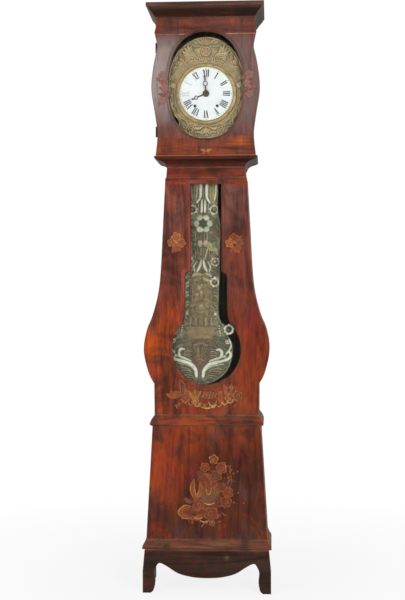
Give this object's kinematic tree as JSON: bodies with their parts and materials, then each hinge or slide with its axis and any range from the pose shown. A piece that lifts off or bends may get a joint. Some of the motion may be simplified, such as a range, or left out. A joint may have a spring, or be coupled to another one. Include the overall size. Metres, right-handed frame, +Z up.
{
  "type": "comtoise clock",
  "caption": "Violin-cased comtoise long-case clock: painted pine case on bracket feet, hinged hood door, enamel dial, cage movement with bell and a pressed-sheet pendulum.",
  "frame": {"origin": "on the floor, at the middle of the footprint", "axes": "+Z up along the height, -Y out of the front, +X to the viewer's right"},
  "size_m": [0.506, 0.29, 2.3],
  "materials": {
    "painted_wood": "worn painted grain",
    "raw_wood": "bare pine",
    "pane_glass": "clear",
    "black_iron": "dull forged",
    "aged_brass": "aged",
    "enamel": "gloss enamel",
    "copper_hands": "browned",
    "line_cord": "gut line",
    "painted_sheet": "worn paint"
  },
  "bodies": {
    "case": {"front_apron": "painted_wood", "side_aprons": "painted_wood", "base_moulding": "painted_wood", "base_front_panel": "painted_wood", "base_side_panels": "painted_wood", "waist_moulding": "painted_wood", "trunk_side_panels": "painted_wood", "neck_board": "painted_wood", "hood_base_moulding": "painted_wood", "hood_side_panels": "painted_wood", "cornice": "painted_wood", "base_floor": "raw_wood", "base_back_board": "raw_wood", "trunk_back_board": "raw_wood", "hood_back_board": "raw_wood", "hood_top_board": "raw_wood", "seat_board": "raw_wood", "case_hinge_leaves": "aged_brass", "cage_bottom_plate": "black_iron", "cage_top_plate": "black_iron", "cage_pillars": "black_iron", "train_bars": "black_iron", "centre_post": "black_iron", "pendulum_cocks": "black_iron", "dial_pediment": "aged_brass", "dial_bezel": "aged_brass", "enamel_dial": "enamel", "bell_stand": "black_iron", "bell": "aged_brass", "going_line": "line_cord", "strike_line": "line_cord"},
    "hood_door": {"hood_door": "painted_wood", "hood_door_glass": "pane_glass", "hood_door_bead": "painted_wood", "door_hinge_leaves": "aged_brass"},
    "trunk_front": {"trunk_front": "painted_wood", "trunk_glass": "pane_glass", "trunk_bead": "painted_wood"},
    "minute_hand": {"minute_cannon": "aged_brass", "minute_hand": "copper_hands"},
    "minute_wheel": {"minute_wheel": "aged_brass"},
    "hour_hand": {"hour_wheel": "aged_brass", "hour_hand": "copper_hands"},
    "going_drum": {"going_drum": "black_iron"},
    "going_weight": {"going_weight": "black_iron"},
    "going_great_wheel": {"going_great_wheel": "aged_brass"},
    "going_second_wheel": {"going_second_wheel": "aged_brass"},
    "going_third_wheel": {"going_third_wheel": "aged_brass"},
    "escape_wheel": {"escape_wheel": "aged_brass"},
    "strike_drum": {"strike_drum": "black_iron"},
    "strike_weight": {"strike_weight": "black_iron"},
    "strike_great_wheel": {"strike_great_wheel": "aged_brass"},
    "strike_pin_wheel": {"strike_pin_wheel": "aged_brass"},
    "warning_wheel": {"warning_wheel": "aged_brass"},
    "strike_fly": {"strike_fly": "aged_brass"},
    "anchor": {"pallet_anchor": "black_iron"},
    "pendulum": {"pendulum_rod": "black_iron", "pendulum_sheet": "painted_sheet", "pendulum_bob": "black_iron"},
    "hammer": {"hammer": "black_iron"}
  },
  "joints": [
    {"name": "hood_door_swing", "type": "hinge", "parent": "case", "child": "hood_door", "pos_m": [-0.1935, -0.087, 1.968], "axis": [0, 0, -1], "range_deg": [0, 110]},
    {"name": "trunk_front_lift_off", "type": "slide", "parent": "case", "child": "trunk_front", "axis": [0, -1, 0], "range_m": [0, 0.25]},
    {"name": "minute_hand_turn", "type": "hinge", "parent": "case", "child": "minute_hand", "pos_m": [0, -0.062, 1.956], "axis": [0, 1, 0], "continuous": true},
    {"name": "minute_wheel_turn", "type": "hinge", "parent": "case", "child": "minute_wheel", "pos_m": [0.03, -0.062, 1.956], "axis": [0, 1, 0], "continuous": true},
    {"name": "hour_hand_turn", "type": "hinge", "parent": "case", "child": "hour_hand", "pos_m": [0, -0.062, 1.956], "axis": [0, 1, 0], "continuous": true},
    {"name": "going_drum_wind", "type": "hinge", "parent": "case", "child": "going_drum", "pos_m": [0.044, 0, 1.908], "axis": [0, -1, 0], "range_deg": [0, 3167.9]},
    {"name": "going_weight_rise", "type": "slide", "parent": "case", "child": "going_weight", "axis": [0, 0, 1], "range_m": [0, 0.95], "deforming": ["going_line"]},
    {"name": "escape_wheel_turn", "type": "hinge", "parent": "case", "child": "escape_wheel", "pos_m": [0, 0, 1.99635], "axis": [0, 1, 0], "continuous": true},
    {"name": "going_third_turn", "type": "hinge", "parent": "case", "child": "going_third_wheel", "pos_m": [0.0107, 0, 1.97487], "axis": [0, 1, 0], "continuous": true},
    {"name": "going_second_turn", "type": "hinge", "parent": "case", "child": "going_second_wheel", "pos_m": [0.02354, 0, 1.94909], "axis": [0, 1, 0], "continuous": true},
    {"name": "going_great_turn", "type": "hinge", "parent": "case", "child": "going_great_wheel", "pos_m": [0.044, 0, 1.908], "axis": [0, 1, 0], "continuous": true},
    {"name": "strike_drum_wind", "type": "hinge", "parent": "case", "child": "strike_drum", "pos_m": [-0.044, 0, 1.908], "axis": [0, 1, 0], "range_deg": [0, 3167.9]},
    {"name": "strike_weight_rise", "type": "slide", "parent": "case", "child": "strike_weight", "axis": [0, 0, 1], "range_m": [0, 0.95], "deforming": ["strike_line"]},
    {"name": "fly_turn", "type": "hinge", "parent": "case", "child": "strike_fly", "pos_m": [-0.06954, 0, 2.00334], "axis": [0, 1, 0], "continuous": true},
    {"name": "warning_turn", "type": "hinge", "parent": "case", "child": "warning_wheel", "pos_m": [-0.06333, 0, 1.98016], "axis": [0, 1, 0], "continuous": true},
    {"name": "pin_wheel_turn", "type": "hinge", "parent": "case", "child": "strike_pin_wheel", "pos_m": [-0.05588, 0, 1.95234], "axis": [0, 1, 0], "continuous": true},
    {"name": "strike_great_turn", "type": "hinge", "parent": "case", "child": "strike_great_wheel", "pos_m": [-0.044, 0, 1.908], "axis": [0, 1, 0], "continuous": true},
    {"name": "pendulum_swing", "type": "hinge", "parent": "case", "child": "pendulum", "pos_m": [0, 0, 2.02335], "axis": [0, 1, 0], "range_deg": [-4.4, 1.6]},
    {"name": "anchor_rock", "type": "hinge", "parent": "case", "child": "anchor", "pos_m": [0, 0, 2.02335], "axis": [0, 1, 0], "range_deg": [-4.4, 1.6]},
    {"name": "hammer_lift", "type": "hinge", "parent": "case", "child": "hammer", "pos_m": [-0.088, 0.035, 2.086], "axis": [0, -1, 0], "range_deg": [0, 12], "stiffness_Nm_per_rad": 0.3}
  ],
  "couplings": [
    {"joint": "minute_wheel_turn", "follows": "minute_hand_turn", "ratio": -0.33333},
    {"joint": "hour_hand_turn", "follows": "minute_hand_turn", "ratio": 0.083333},
    {"joint": "going_drum_wind", "follows": "going_weight_rise", "rad_per_m": 58.14},
    {"joint": "strike_drum_wind", "follows": "strike_weight_rise", "rad_per_m": 58.14},
    {"joint": "going_third_turn", "follows": "escape_wheel_turn", "ratio": -0.14286},
    {"joint": "going_second_turn", "follows": "escape_wheel_turn", "ratio": 0.020408},
    {"joint": "going_great_turn", "follows": "escape_wheel_turn", "ratio": -0.002551},
    {"joint": "warning_turn", "follows": "fly_turn", "ratio": -0.14286},
    {"joint": "pin_wheel_turn", "follows": "fly_turn", "ratio": 0.020408},
    {"joint": "strike_great_turn", "follows": "fly_turn", "ratio": -0.002551},
    {"joint": "anchor_rock", "follows": "pendulum_swing", "ratio": 1}
  ]
}
